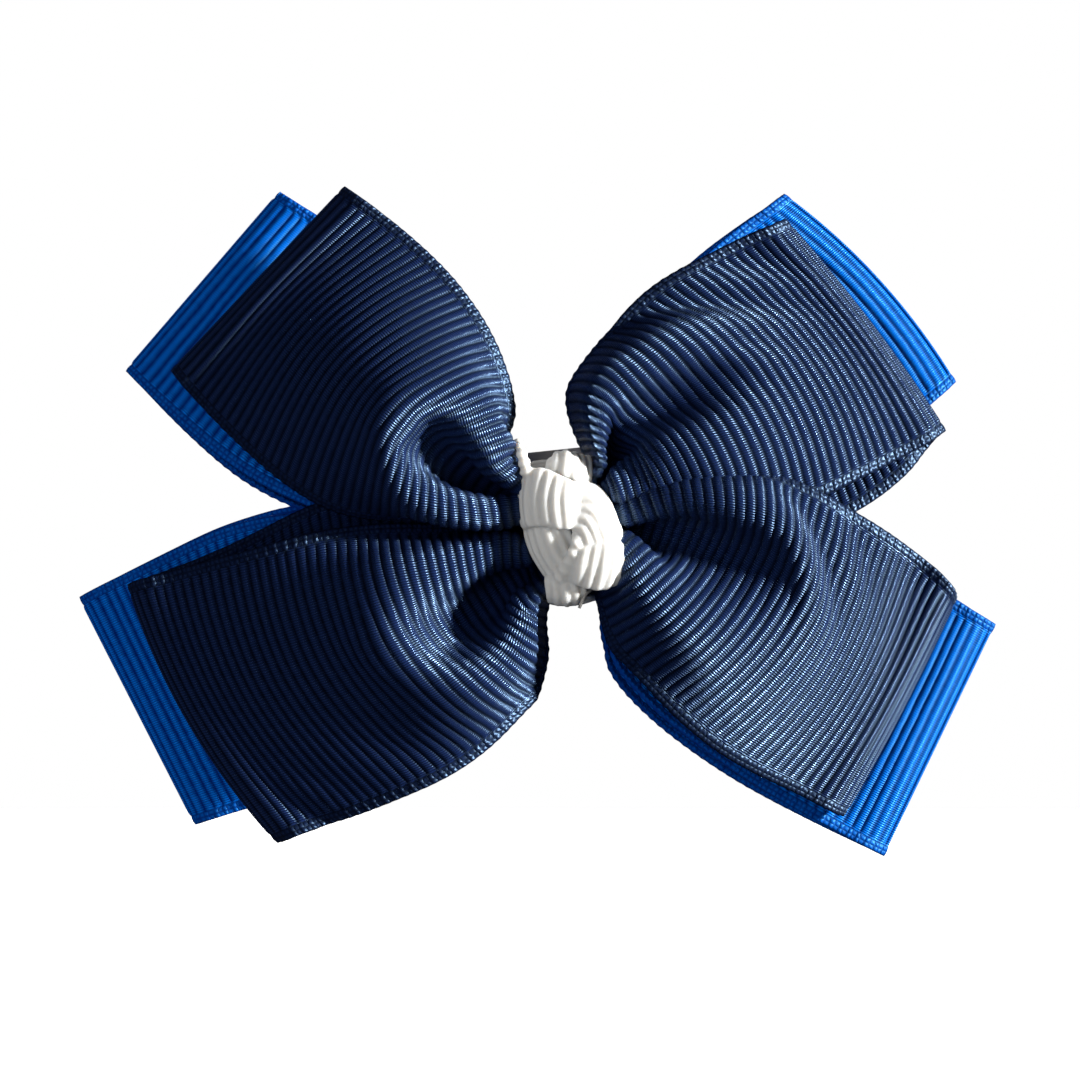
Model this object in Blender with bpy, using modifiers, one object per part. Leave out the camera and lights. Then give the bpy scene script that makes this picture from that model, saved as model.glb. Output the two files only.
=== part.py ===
"""Cheer hair bow: two crossed navy loops over two crossed royal loops, a knotted centre ribbon and a sprung clip.

The bow stands as it is worn. The origin is on the rear face of the clip's fixed arm, straight behind the
knot. +X is to the right of someone who looks at the bow, +Z is up, and the front of the bow faces -Y.
"""

import math
from collections import namedtuple

import bmesh
import bpy
from mathutils import Matrix, Vector

# Driving dimensions, in metres. Angles are in degrees.
RIBBON_WIDTH = 0.0254
RIBBON_THICKNESS = 0.0004
GAP = 0.0003  # clearance between pieces that touch on the real bow
WIRE_RADIUS = 0.00016
GATHER_HALF_HEIGHT = 0.0033  # half the height of a ribbon where the wire gathers it
WAIST_REACH = 0.0065  # how far from the knot the loops start to fan out
SPREAD_START = 0.19  # share of a leaf up to which it stays gathered
SPREAD_END = 0.60  # share of a leaf at which it has its full width again
SWELL_BIAS = 1.4  # pushes a leaf's swelling away from the waist
FOLD_RADIUS = 0.0007
LAP_SHARE = 0.12  # how far a strip's end runs past the waist, as a share of a leaf
LAYERS_PER_STRIP = 3  # the front leaf and the two lapped ends behind it

CENTRE_RIBBON_THICKNESS = 0.0006
CENTRE_BAND_WIDTH = 0.0064
CENTRE_TAIL_WIDTH = 0.0044
CENTRE_HALF_HEIGHT = 0.0066
KNOT_SIZE = (0.0088, 0.0050, 0.0122)

GLUE_THICKNESS = 0.0005
GLUE_EDGE = 0.0002
CLIP_PLATE = 0.0008
CLIP_SHEET = 0.0006
CLIP_LENGTH = 0.045
CLIP_MOUTH = 0.031  # from the pivot to the tip
CLIP_TAIL = CLIP_LENGTH - CLIP_MOUTH
CLIP_WIDTH = 0.0095
CLIP_TILT = 6.0
PIVOT_X = 0.0070
CLIP_CENTRE_Z = 0.0024
PIVOT_DEPTH = 0.0022  # from the fixed arm's rear face to the pin's centre
PIN_RADIUS = 0.00075
PIN_CLEARANCE = 0.00025
EAR_RADIUS = 0.00175
SPRING_RADIUS = 0.00135
SPRING_WIRE = 0.0003
SPRING_TURNS = 3

Loop = namedtuple("Loop", "bearing reach crease_angle entry_z")
Strip = namedtuple("Strip", "name colour left right layer crease_y bulge")

# Each loop's centre line, seen from the front: where its crease lies, how the crease slopes, and how high
# above the waist's middle the loop leaves it.
NAVY_UPPER_LEFT = Loop(142.0, 0.0356, 47.0, 0.0010)
NAVY_LOWER_LEFT = Loop(207.0, 0.0372, 120.0, -0.0008)
NAVY_UPPER_RIGHT = Loop(34.5, 0.0318, 128.0, 0.0008)
NAVY_LOWER_RIGHT = Loop(-28.0, 0.0334, 65.0, -0.0010)
ROYAL_UPPER_LEFT = Loop(146.5, 0.0396, 50.0, 0.0010)
ROYAL_LOWER_LEFT = Loop(203.0, 0.0424, 117.0, -0.0008)
ROYAL_UPPER_RIGHT = Loop(38.5, 0.0345, 132.0, 0.0008)
ROYAL_LOWER_RIGHT = Loop(-30.5, 0.0382, 64.0, -0.0010)

COLOURS = {
    "navy": ((0.010, 0.016, 0.050), 0.55, 0.0),
    "royal": ((0.005, 0.060, 0.360), 0.50, 0.0),
    "white": ((0.800, 0.800, 0.820), 0.65, 0.0),
    "glue": ((0.700, 0.680, 0.600), 0.35, 0.0),
    "wire": ((0.600, 0.590, 0.570), 0.30, 1.0),
    "clip": ((0.450, 0.430, 0.420), 0.35, 1.0),
}


def stack_positions():
    """The centre depth of every layer at the waist, from the clip's fixed arm forward to the knot."""
    wire = 2 * WIRE_RADIUS
    layers = 2 * LAYERS_PER_STRIP
    items = [("arm", CLIP_PLATE), ("clip_glue", GLUE_THICKNESS), ("centre_rear", CENTRE_RIBBON_THICKNESS)]
    items += [("royal_wire_rear", wire)]
    items += [(f"royal_{i}", RIBBON_THICKNESS) for i in range(layers)]
    items += [("royal_wire_front", wire), ("middle_glue", GLUE_THICKNESS), ("navy_wire_rear", wire)]
    items += [(f"navy_{i}", RIBBON_THICKNESS) for i in range(layers)]
    items += [("navy_wire_front", wire), ("centre_front", CENTRE_RIBBON_THICKNESS)]
    depth, positions = 0.0, {}
    for name, thickness in items:
        positions[name] = depth - thickness / 2
        depth -= thickness + GAP
    return positions


Y = stack_positions()

STRIPS = (
    Strip("royal_rear_strip", "royal", ROYAL_LOWER_LEFT, ROYAL_UPPER_RIGHT, 0, -0.0035, 0.0006),
    Strip("royal_front_strip", "royal", ROYAL_UPPER_LEFT, ROYAL_LOWER_RIGHT, 3, -0.0072, 0.0004),
    Strip("navy_rear_strip", "navy", NAVY_LOWER_LEFT, NAVY_UPPER_RIGHT, 0, -0.0116, 0.0014),
    Strip("navy_front_strip", "navy", NAVY_UPPER_LEFT, NAVY_LOWER_RIGHT, 3, -0.0172, 0.0026),
)


def clear_scene():
    for obj in list(bpy.data.objects):
        bpy.data.objects.remove(obj)


def new_collection(name):
    collection = bpy.data.collections.new(name)
    bpy.context.scene.collection.children.link(collection)
    return collection


def material(name):
    colour, roughness, metallic = COLOURS[name]
    made = bpy.data.materials.get(name) or bpy.data.materials.new(name)
    made.use_nodes = True
    shader = made.node_tree.nodes["Principled BSDF"]
    shader.inputs["Base Color"].default_value = (*colour, 1.0)
    shader.inputs["Roughness"].default_value = roughness
    shader.inputs["Metallic"].default_value = metallic
    return made


def add(name, data, finish, collection, parent=None):
    obj = bpy.data.objects.new(name, data)
    data.materials.append(material(finish))
    obj.parent = parent
    collection.objects.link(obj)
    return obj


def as_cutter(obj):
    obj.hide_render = True
    obj.display_type = "WIRE"
    return obj


def mix(a, b, t):
    return a + (b - a) * t


def smooth_step(t):
    t = min(max(t, 0.0), 1.0)
    return t * t * (3 - 2 * t)


def loft(name, rows):
    """An open sheet through rows of points, one point for each column."""
    mesh = bpy.data.meshes.new(name)
    columns = len(rows[0])
    corners = [point for row in rows for point in row]
    faces = [
        (r * columns + c, r * columns + c + 1, (r + 1) * columns + c + 1, (r + 1) * columns + c)
        for r in range(len(rows) - 1)
        for c in range(columns - 1)
    ]
    mesh.from_pydata(corners, [], faces)
    mesh.shade_smooth()
    return mesh


def thicken(obj, thickness):
    modifier = obj.modifiers.new("thickness", "SOLIDIFY")
    modifier.thickness = thickness
    modifier.offset = 0.0
    modifier.use_even_offset = True


def join(obj, other):
    modifier = obj.modifiers.new(f"joined {other.name}", "BOOLEAN")
    modifier.operation = "UNION"
    modifier.object = other


def tube(name, points, radius, finish, collection, parent=None):
    """A round wire along the points."""
    curve = bpy.data.curves.new(name, "CURVE")
    curve.dimensions = "3D"
    curve.bevel_depth = radius
    curve.bevel_resolution = 2
    curve.use_fill_caps = True
    spline = curve.splines.new("POLY")
    spline.points.add(len(points) - 1)
    for place, point in zip(spline.points, points):
        place.co = (*point, 1.0)
    add(name, curve, finish, collection, parent)


def plate(name, outline, hole, thickness, side, parent, collection):
    """A flat plate standing on edge along the clip, at the given side, with an optional hole in it."""
    curve = bpy.data.curves.new(name, "CURVE")
    curve.dimensions = "2D"
    curve.fill_mode = "BOTH"
    curve.extrude = thickness / 2
    for points in filter(None, (outline, hole)):
        spline = curve.splines.new("POLY")
        spline.points.add(len(points) - 1)
        for place, point in zip(spline.points, points):
            place.co = (*point, 0.0, 1.0)
        spline.use_cyclic_u = True
    drawn = bpy.data.objects.new(name, curve)
    collection.objects.link(drawn)
    bpy.context.view_layer.update()
    mesh = bpy.data.meshes.new_from_object(drawn.evaluated_get(bpy.context.evaluated_depsgraph_get()))
    bpy.data.objects.remove(drawn)
    welded = bmesh.new()
    welded.from_mesh(mesh)
    bmesh.ops.remove_doubles(welded, verts=welded.verts, dist=0.00001)
    bmesh.ops.recalc_face_normals(welded, faces=welded.faces)
    welded.to_mesh(mesh)
    welded.free()
    made = add(name, mesh, "clip", collection, parent)
    made.location.z = side
    return as_cutter(made)


def arc(radius, start, end, steps):
    """Points on a circle about the pivot, from one angle to another in degrees."""
    angles = [math.radians(mix(start, end, i / steps)) for i in range(steps + 1)]
    return [(radius * math.cos(a), radius * math.sin(a)) for a in angles]


def pad(name, size, centre, finish, collection):
    mesh = bpy.data.meshes.new(name)
    shape = bmesh.new()
    bmesh.ops.create_cube(shape, size=1.0)
    bmesh.ops.scale(shape, vec=size, verts=shape.verts)
    shape.to_mesh(mesh)
    shape.free()
    obj = add(name, mesh, finish, collection)
    obj.location = centre
    softened = obj.modifiers.new("soft edges", "BEVEL")
    softened.width = GLUE_EDGE
    softened.segments = 2


def leaf_row(loop, share, layer_y, crease_y, bulge):
    """One row across a leaf of ribbon, at this share of the way from the waist to the crease."""
    bearing = math.radians(loop.bearing)
    crease = Vector((math.cos(bearing), math.sin(bearing))) * loop.reach
    leaving = Vector((math.copysign(WAIST_REACH, crease.x), loop.entry_z))
    centre = 2 * share * (1 - share) * leaving + share * share * crease
    spread = smooth_step((share - SPREAD_START) / (SPREAD_END - SPREAD_START))
    half = mix(GATHER_HALF_HEIGHT, RIBBON_WIDTH / 2, spread)
    slope = math.radians(mix(90.0, loop.crease_angle, spread))
    row = []
    for across in (-1.0, -0.5, 0.0, 0.5, 1.0):
        swell = bulge * math.sin(math.pi * share**SWELL_BIAS) ** 2 * (1.0 - 0.85 * across**2)
        x = centre.x + across * half * math.cos(slope)
        z = centre.y + across * half * math.sin(slope)
        row.append(Vector((x, mix(layer_y, crease_y, smooth_step(share)) - swell, z)))
    return row


def fold_row(loop, crease_y):
    """The outermost row of a loop, where the ribbon turns back on itself."""
    outward = Vector((math.cos(math.radians(loop.bearing)), 0.0, math.sin(math.radians(loop.bearing))))
    return [point + outward * FOLD_RADIUS for point in leaf_row(loop, 1.0, 0.0, crease_y, 0.0)]


def build_strip(strip, collection):
    """One ribbon closed into a flat loop: out to the left crease, across the front, and back from the right."""
    shares = (0.12, 0.25, 0.40, 0.55, 0.75, 0.97)
    behind, lapped, front = (Y[f"{strip.colour}_{strip.layer + i}"] for i in range(LAYERS_PER_STRIP))
    rear_crease = strip.crease_y + FOLD_RADIUS
    front_crease = strip.crease_y - FOLD_RADIUS

    def rear_leaf(loop, layer_y):
        return [leaf_row(loop, share, layer_y, rear_crease, 0.0) for share in shares]

    def front_leaf(loop):
        return [leaf_row(loop, share, front, front_crease, strip.bulge) for share in shares]

    left, right = strip.left, strip.right
    rows = [leaf_row(right, LAP_SHARE, lapped, lapped, 0.0), leaf_row(left, 0.0, lapped, lapped, 0.0)]
    rows += rear_leaf(left, lapped) + [fold_row(left, strip.crease_y)] + front_leaf(left)[::-1]
    rows += [leaf_row(left, 0.0, front, front, 0.0)]
    rows += front_leaf(right) + [fold_row(right, strip.crease_y)] + rear_leaf(right, behind)[::-1]
    rows += [leaf_row(right, 0.0, behind, behind, 0.0), leaf_row(left, LAP_SHARE, behind, behind, 0.0)]
    obj = add(strip.name, loft(strip.name, rows), strip.colour, collection)
    rounding = obj.modifiers.new("rounding", "SUBSURF")
    rounding.levels = rounding.render_levels = 1
    thicken(obj, RIBBON_THICKNESS)


def waist_ring(front_y, rear_y, half_height, corner, first):
    """A rounded rectangle round the waist, as (y, z). It starts at one of its corners, counted from rear top."""
    steps = 3
    inner = half_height - corner
    centres = ((rear_y - corner, inner), (front_y + corner, inner))
    centres += ((front_y + corner, -inner), (rear_y - corner, -inner))
    ring = []
    for place in range(first, first + 4):
        y, z = centres[place % 4]
        for i in range(steps + 1):
            angle = math.radians(90.0 * (place + i / steps))
            ring.append((y + corner * math.cos(angle), z + corner * math.sin(angle)))
    return ring


def build_centre_ribbon(collection, cutters):
    """The white ribbon: a knot in front, and its two tails round the waist to the rear."""
    tail_end = 0.0005
    corner = 0.0016
    path = waist_ring(Y["centre_front"], Y["centre_rear"], CENTRE_HALF_HEIGHT, corner, 0)
    path = [(Y["centre_rear"], tail_end), *path, (Y["centre_rear"], -tail_end)]
    rows = []
    for y, z in path:
        forward = smooth_step(y / Y["centre_front"] * 4 - 3)
        half = mix(CENTRE_TAIL_WIDTH, CENTRE_BAND_WIDTH, forward) / 2
        rows.append([Vector((across * half, y, z)) for across in (-1.0, 0.0, 1.0)])
    obj = add("centre_ribbon", loft("centre_ribbon", rows), "white", collection)
    thicken(obj, CENTRE_RIBBON_THICKNESS)

    mesh = bpy.data.meshes.new("knot_body")
    shape = bmesh.new()
    bmesh.ops.create_icosphere(shape, subdivisions=3, radius=0.5)
    bmesh.ops.scale(shape, vec=KNOT_SIZE, verts=shape.verts)
    shape.to_mesh(mesh)
    shape.free()
    knot = as_cutter(add("knot_body", mesh, "white", cutters))
    knot.location.y = Y["centre_front"] - KNOT_SIZE[1] / 2
    join(obj, knot)


def build_wires(collection):
    """A wire round each gathered waist. The navy one's cut end comes out below the knot."""
    half_height = GATHER_HALF_HEIGHT + GAP + 2 * WIRE_RADIUS
    beside = 0.0004  # the wire's two ends pass each other by twice this
    corner = 0.0006
    bend_z, turn_z, cut_z = -0.0049, -0.0056, -0.0074  # along the navy wire's free end
    for colour in ("navy", "royal"):
        ring = waist_ring(Y[f"{colour}_wire_front"], Y[f"{colour}_wire_rear"], half_height, corner, 3)
        middle_y = (Y[f"{colour}_wire_front"] + Y[f"{colour}_wire_rear"]) / 2
        path = [(-beside, middle_y, -half_height)]
        path += [(0.0, y, z) for y, z in ring]
        path += [(beside, middle_y, -half_height)]
        if colour == "navy":
            aside = CENTRE_BAND_WIDTH / 2 + GAP
            path += [(aside / 2, middle_y, bend_z), (aside, middle_y, turn_z), (aside, middle_y, cut_z)]
        tube(f"{colour}_gather_wire", path, WIRE_RADIUS, "wire", collection)


def build_glue(collection):
    """Hot-melt pads: one between the two bows, one between the rear of the bow and the clip."""
    middle = (0.0078, GLUE_THICKNESS, 0.0056)
    pad("glue_between_bows", middle, (0.0, Y["middle_glue"], 0.0), "glue", collection)
    rear = (0.0120, GLUE_THICKNESS, 0.0064)
    pad("glue_on_clip", rear, (0.0, Y["clip_glue"], CLIP_CENTRE_Z / 2), "glue", collection)


def clip_sheet(name, rows, parent, collection):
    """A stamped arm of the clip: rows of (along, depth, half width) from the tip to the finger end."""
    lines = [
        [Vector((along, depth, across * half)) for across in (-1.0, 0.0, 1.0)] for along, depth, half in rows
    ]
    return add(name, loft(name, lines), "clip", collection, parent)


def round_end(end, half, depth, corner):
    """The last rows of an arm whose end has rounded corners, on the tip's side if end is negative."""
    inward = math.copysign(corner, -end)
    rows = []
    for step in range(4):
        angle = math.radians(30.0 * step)
        rows.append((end + inward * (1 - math.sin(angle)), depth, half - corner * (1 - math.cos(angle))))
    return rows[::-1]


def build_clip(collection, cutters):
    """An alligator clip: a flat arm glued to the bow, a toothed jaw on a pin, and the spring between them."""
    tilt = math.radians(CLIP_TILT)
    pivot = bpy.data.objects.new("clip_pivot", None)
    collection.objects.link(pivot)
    along = Vector((math.cos(tilt), 0.0, math.sin(tilt)))
    across = Vector((-math.sin(tilt), 0.0, math.cos(tilt)))
    axes = Matrix((along, (0.0, 1.0, 0.0), across)).transposed().to_4x4()
    place = Vector((0.0, PIVOT_DEPTH, CLIP_CENTRE_Z)) + along * PIVOT_X
    pivot.matrix_world = Matrix.Translation(place) @ axes
    bpy.context.view_layer.update()
    hole = arc(PIN_RADIUS + PIN_CLEARANCE, 0, 337.5, 15)

    # The fixed arm: a flat plate with an ear on each side of the pin.
    arm_depth = -PIVOT_DEPTH - CLIP_PLATE / 2
    half = CLIP_WIDTH / 2
    tip_half, tip_corner = 0.0030, 0.0010
    finger_half, finger_corner = half - 0.0006, 0.0024
    taper_start, finger_start = -0.020, 0.008
    rows = round_end(-CLIP_MOUTH, tip_half, arm_depth, tip_corner)
    rows += [(along, arm_depth, half) for along in (taper_start, 0.0, finger_start)]
    rows += round_end(CLIP_TAIL, finger_half, arm_depth, finger_corner)[::-1]
    arm = clip_sheet("clip_fixed_arm", rows, pivot, collection)
    thicken(arm, CLIP_PLATE)
    foot = 0.0045
    outline = [(-foot, arm_depth), (foot, arm_depth), *arc(EAR_RADIUS, 15, 165, 8)]
    inset = 0.0001
    ear_side = half - CLIP_SHEET / 2 - inset
    for sign in (-1, 1):
        join(arm, plate(f"arm_ear_{sign}", outline, hole, CLIP_SHEET, sign * ear_side, pivot, cutters))

    # The jaw: its own ears sit inside the arm's, and its tail lifts away for the thumb.
    hip, tip_depth, tail_depth = 0.0026, -0.0005, 0.0072
    lip_depth, lip_lean = 0.0011, 0.0003  # the tip is bent towards the arm
    jaw_half, jaw_tip_half, lip_half, shoulder_half, jaw_end_half = 0.0036, 0.0026, 0.0024, 0.0034, 0.0024
    jaw_taper = 0.017
    rows = [(-CLIP_MOUTH - lip_lean, tip_depth - lip_depth, lip_half), (-CLIP_MOUTH, tip_depth, jaw_tip_half)]
    rows += [(-jaw_taper, mix(hip, tip_depth, jaw_taper / CLIP_MOUTH), jaw_half), (0.0, hip, jaw_half)]
    rows += [(0.7 * CLIP_TAIL, mix(hip, tail_depth, 0.7), jaw_half)]
    rows += [(0.9 * CLIP_TAIL, mix(hip, tail_depth, 0.9), shoulder_half), (CLIP_TAIL, tail_depth, jaw_end_half)]
    jaw = clip_sheet("clip_jaw", rows, pivot, collection)
    thicken(jaw, CLIP_SHEET)
    reach = 0.0035
    front_y = mix(hip, tip_depth, reach / CLIP_MOUTH)
    rear_y = mix(hip, tail_depth, reach / CLIP_TAIL)
    outline = [(reach, rear_y), (0.0, hip), (-reach, front_y), *arc(EAR_RADIUS, 195, 345, 8)]
    inner_side = ear_side - CLIP_SHEET - GAP
    for sign in (-1, 1):
        join(jaw, plate(f"jaw_ear_{sign}", outline, hole, CLIP_SHEET, sign * inner_side, pivot, cutters))
    first, pitch, count = -0.0300, 0.0020, 7
    teeth_side = 0.0021
    last = first + count * pitch
    outline = [(last, mix(hip, tip_depth, -last / CLIP_MOUTH)), (first, mix(hip, tip_depth, -first / CLIP_MOUTH))]
    for tooth in range(count + 1):
        notch = 0.0006 + 0.0007 * (tooth / count) ** 2  # the teeth get shorter towards the tip
        outline += [(first + tooth * pitch, notch - PIVOT_DEPTH)]
        outline += [(first + (tooth + 0.5) * pitch, GAP - PIVOT_DEPTH)]
    del outline[-1]
    for sign in (-1, 1):
        join(jaw, plate(f"jaw_teeth_{sign}", outline, None, CLIP_SHEET, sign * teeth_side, pivot, cutters))

    build_pin(pivot, ear_side, collection)
    build_spring(pivot, hip, tail_depth, collection)


def build_pin(pivot, ear_side, collection):
    """The rivet that the jaw turns on, with a head outside each ear."""
    inside = ear_side + CLIP_SHEET / 2 + GAP
    head_size = 0.0005  # how thick the head is, and how far it stands out round the pin
    outside = inside + head_size
    head = PIN_RADIUS + head_size
    half_profile = [(head, inside), (head, outside), (0.0, outside)]
    profile = [(0.0, -outside), (head, -outside), (head, -inside), (PIN_RADIUS, -inside), (PIN_RADIUS, inside)]
    profile = (profile + half_profile)[::-1]
    mesh = bpy.data.meshes.new("clip_pin")
    edges = [(i, i + 1) for i in range(len(profile) - 1)]
    mesh.from_pydata([(radius, 0.0, height) for radius, height in profile], edges, [])
    obj = add("clip_pin", mesh, "wire", collection, pivot)
    turn = obj.modifiers.new("turned", "SCREW")
    turn.steps = turn.render_steps = 20
    turn.use_merge_vertices = True
    turn.merge_threshold = 0.00001


def build_spring(pivot, hip, tail_depth, collection):
    """A torsion spring on the pin. One leg lies along the fixed arm, the other under the jaw's tail."""
    lift = math.atan2(tail_depth - hip, CLIP_TAIL)
    leaving = math.pi / 2 + lift
    swept = math.pi - lift + 2 * math.pi * SPRING_TURNS
    steps = 10 * SPRING_TURNS + 5
    half_length = 0.0017
    leg = 0.0080
    path = [(leg, -SPRING_RADIUS, -half_length)]
    for i in range(steps + 1):
        angle = -math.pi / 2 - swept * i / steps
        height = mix(-half_length, half_length, i / steps)
        path.append((SPRING_RADIUS * math.cos(angle), SPRING_RADIUS * math.sin(angle), height))
    start = Vector((SPRING_RADIUS * math.cos(leaving), SPRING_RADIUS * math.sin(leaving), half_length))
    path.append(tuple(start + leg * Vector((math.cos(lift), math.sin(lift), 0.0))))
    tube("clip_spring", path, SPRING_WIRE, "wire", collection, pivot)


def main():
    clear_scene()
    parts = new_collection("cheer_hair_bow")
    cutters = new_collection("cutters")
    for strip in STRIPS:
        build_strip(strip, parts)
    build_centre_ribbon(parts, cutters)
    build_wires(parts)
    build_glue(parts)
    build_clip(parts, cutters)


main()
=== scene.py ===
"""Looks of the cheer hair bow: ribbed loops relaxed like cloth, a tied centre ribbon and a steel clip."""

import math
from collections import namedtuple

import bpy
import numpy as np
from mathutils import Matrix, Vector, kdtree


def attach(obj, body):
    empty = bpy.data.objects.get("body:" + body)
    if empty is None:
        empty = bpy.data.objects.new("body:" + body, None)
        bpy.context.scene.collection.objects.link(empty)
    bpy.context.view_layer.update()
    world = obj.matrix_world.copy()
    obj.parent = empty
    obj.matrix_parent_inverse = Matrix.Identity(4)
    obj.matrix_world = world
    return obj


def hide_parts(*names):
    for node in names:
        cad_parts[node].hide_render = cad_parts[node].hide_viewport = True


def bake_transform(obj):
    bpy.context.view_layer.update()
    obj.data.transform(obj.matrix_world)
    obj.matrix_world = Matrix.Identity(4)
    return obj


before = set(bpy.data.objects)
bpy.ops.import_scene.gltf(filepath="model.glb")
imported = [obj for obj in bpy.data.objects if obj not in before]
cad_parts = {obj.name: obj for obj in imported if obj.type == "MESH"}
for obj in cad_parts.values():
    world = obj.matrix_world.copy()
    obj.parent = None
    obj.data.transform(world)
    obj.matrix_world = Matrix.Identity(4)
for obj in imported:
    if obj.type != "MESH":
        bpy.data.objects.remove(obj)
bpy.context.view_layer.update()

MM = 0.001

# ---------------------------------------------------------------- the loops' ribbon, in metres
RIBBON_WIDTH = 0.0254
RIB_PITCH = 0.00095
YARN_PITCH = 0.00022
RIB_HEIGHT = 0.00019
RIB_ROUNDNESS = 0.75  # power of the sine that shapes a rib: lower is flatter on top
HALF_THICKNESS = 0.00015
EDGE = 0.95 * MM  # width of the woven edge
EDGE_BLEND = 0.3 * MM  # the ribs fade out over this, next to the edge
CORD_HEIGHT = 0.07 * MM
BRAID_HEIGHT = 0.05 * MM
GRID = 0.001  # row spacing of the coarse grid that is relaxed
COLUMNS = 25  # coarse grid points across the ribbon
WAIST_X = 0.0036  # the knot holds the gathers up to here
FOLD = 0.0004  # radius of the folds at the loops' ends
CLIP_FRONT = -0.0012  # the royal bow's back presses against the clip and comes no further
CLIP_SOFTNESS = 0.0012
LAYER_GAP = 0.0006  # a loop's hidden side stays this far behind its face
LAYER_REACH = 0.0009  # points this near each other, seen from the front, lie over one another

# ---------------------------------------------------------------- how the loops' ribbon relaxes
FULL_ROUNDS = 900
TAUTNESS = 0.985  # the rows' spacing, as a share of the drawn one
BENDING = (0.08, 0.13)  # stiffness along and across
AIR = 0.002  # mm per round, how much a loop's face is pushed outward
FITTED_ROWS = 15  # rows on each side of a fold over which the ribbon's width is fitted to the outline
# How strongly each round draws a point back to the drawn shape: on a face, on a face in y, in y next to
# the knot as well, on the hidden side, and on the face's two edges in x, y and z.
FACE_TIE = 0.006
DEPTH_TIE = 0.015
ROOT_TIE = 0.05
HIDDEN_TIE = 0.02
EDGE_TIE = (0.03, 0.015, 0.03)


# ---------------------------------------------------------------- curves
def smooth(t):
    t = np.clip(t, 0.0, 1.0)
    return t * t * (3 - 2 * t)


def ramp(t, start, length):
    """Goes smoothly from 0 to 1 over the length after the start."""
    return smooth((t - start) / length)


def bspline_rows(count, places):
    """Weights that turn count control points into cubic B-spline points at the given places."""
    weights = np.zeros((len(places), count))
    for row, place in enumerate(places):
        whole = min(int(place), count - 2)
        f = place - whole
        four = (
            (1 - f) ** 3 / 6,
            (3 * f**3 - 6 * f**2 + 4) / 6,
            (-3 * f**3 + 3 * f**2 + 3 * f + 1) / 6,
            f**3 / 6,
        )
        for offset, weight in zip((-1, 0, 1, 2), four):
            point = whole + offset
            if point < 0:
                weights[row, 0] += 2 * weight
                weights[row, 1] -= weight
            elif point >= count:
                weights[row, count - 1] += 2 * weight
                weights[row, count - 2] -= weight
            else:
                weights[row, point] += weight
    return weights


def curve_through(points, shares):
    """A smooth curve through the points, read at shares of its length from 0 to 1."""
    points = np.array(points, float)
    dense = np.linspace(0, len(points) - 1, 600)
    padded = np.vstack([2 * points[0] - points[1], points, 2 * points[-1] - points[-2]])
    whole = np.minimum(dense.astype(int), len(points) - 2)
    f = (dense - whole)[:, None]
    a, b, c, d = (padded[whole + i] for i in range(4))
    line = 0.5 * (2 * b + (c - a) * f + (2 * a - 5 * b + 4 * c - d) * f**2 + (3 * b - a - 3 * c + d) * f**3)
    run = np.concatenate([[0], np.cumsum(np.linalg.norm(np.diff(line, axis=0), axis=1))])
    want = np.asarray(shares) * run[-1]
    return np.stack([np.interp(want, run, line[:, k]) for k in range(line.shape[1])], axis=1)


def surface_through(grid, rows, columns):
    """A smooth surface through a small grid of points, as rows by columns points spaced by length."""
    grid = np.array(grid, float)
    lines = [curve_through(line, np.linspace(0, 1, rows)) for line in grid.transpose(1, 0, 2)]
    across = np.stack(lines, axis=1)
    return np.stack([curve_through(line, columns) for line in across])


# ---------------------------------------------------------------- cloth
def pull(points, mobility, a, b, rest, stiffness):
    """Moves each pair of points towards its rest distance, as one step of position-based cloth."""
    gap = points[b] - points[a]
    length = np.sqrt((gap * gap).sum(-1, keepdims=True)) + 1e-12
    both = mobility[a] + mobility[b] + 1e-9
    move = gap * (stiffness * (length - rest) / (length * both))
    points[a] += mobility[a] * move
    points[b] -= mobility[b] * move


def pairs(count, step):
    """Slices that pair each point with the one step further on, in groups that share no point."""
    for first in range(2 * step) if step > 1 else (0, 1):
        number = len(range(first + step, count, 2 * step))
        if number:
            last = first + 2 * step * (number - 1) + 1
            yield slice(first, last, 2 * step), slice(first + step, last + step, 2 * step)


def relax(points, along, across, mobility, ties, push, rounds, bend):
    """Relaxes a sheet of cloth on a grid: it keeps its lengths, resists bending and follows its ties.

    along is the spacing of the rows, across is the spacing of the columns in each row, bend has the stiffness
    along and across, and push moves each row along y, as the air in a full loop would.
    """
    rows, columns, _ = points.shape
    goal = points.copy()
    across = np.broadcast_to(np.asarray(across, float), (rows,))[:, None, None]
    along = along[..., None]
    push = push[:, None] * mobility[..., 0] * (1 - np.linspace(-1, 1, columns) ** 4)
    diagonal = np.hypot(along[:, 1:], across)
    every = slice(None)
    for _ in range(rounds):
        for a, b in pairs(rows, 1):
            pull(points, mobility, (a, every), (b, every), along[a], 1.0)
            pull(points, mobility, (a, slice(0, -1)), (b, slice(1, None)), diagonal[a], 0.2)
            pull(points, mobility, (a, slice(1, None)), (b, slice(0, -1)), diagonal[a], 0.2)
        for a, b in pairs(columns, 1):
            pull(points, mobility, (every, a), (every, b), across, 1.0)
        for step in (2, 4):
            for a, b in pairs(rows, step):
                pull(points, mobility, (a, every), (b, every), step * along[a], bend[0])
            for a, b in pairs(columns, step):
                pull(points, mobility, (every, a), (every, b), step * across, bend[1])
        points += ties * mobility * (goal - points)
        points[..., 1] += push


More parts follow.
